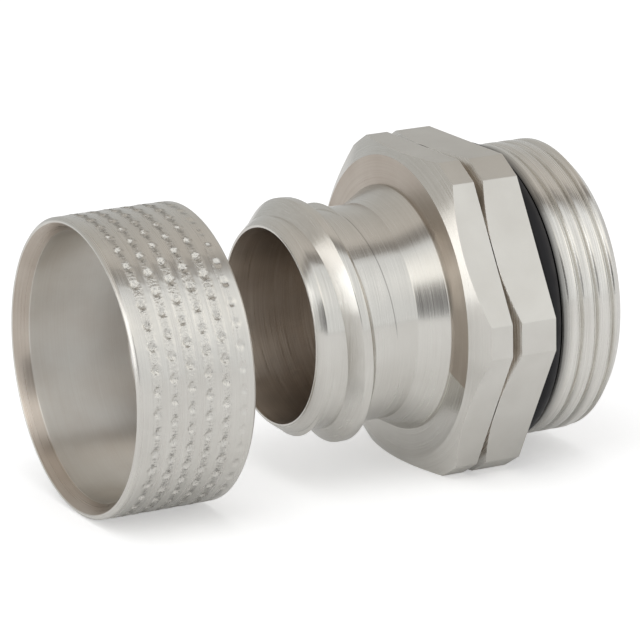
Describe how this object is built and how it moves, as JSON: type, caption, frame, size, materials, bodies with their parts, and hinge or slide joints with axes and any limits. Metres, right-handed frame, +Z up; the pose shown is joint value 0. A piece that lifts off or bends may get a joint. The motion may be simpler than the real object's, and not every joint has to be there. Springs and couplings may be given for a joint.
{
  "type": "straight connector",
  "caption": "Straight conduit connector: screw-in spigot swivelling in a hexagon adaptor with a male panel thread and O-ring, with a loose punched clamp ring.",
  "frame": {"origin": "on the connector's axis, in the face of the rear hexagon that seats on the panel", "axes": "+X along the axis and out along the panel thread, +Z up with the part lying on a hexagon flat"},
  "size_m": [0.045, 0.0296, 0.027],
  "materials": {
    "ring_metal": "satin nickel plate over turned and punched brass",
    "body_metal": "satin nickel plate over turned brass",
    "adaptor_metal": "satin nickel plate over turned brass",
    "seal_rubber": "smooth matt black",
    "spring_wire": "drawn spring wire"
  },
  "bodies": {
    "spigot": {"spigot_body": "body_metal", "swivel_seal": "seal_rubber", "snap_ring": "spring_wire"},
    "adaptor": {"thread_adaptor": "adaptor_metal", "flange_o_ring": "seal_rubber"},
    "ring": {"clamp_ring": "ring_metal"}
  },
  "joints": [
    {"name": "thread_swivel", "type": "hinge", "parent": "spigot", "child": "adaptor", "pos_m": [0, 0, 0], "axis": [1, 0, 0], "continuous": true},
    {"name": "ring_slide", "type": "slide", "parent": "spigot", "child": "ring", "axis": [0.9986, 0, 0.0521], "range_m": [0, 0.01918]}
  ]
}
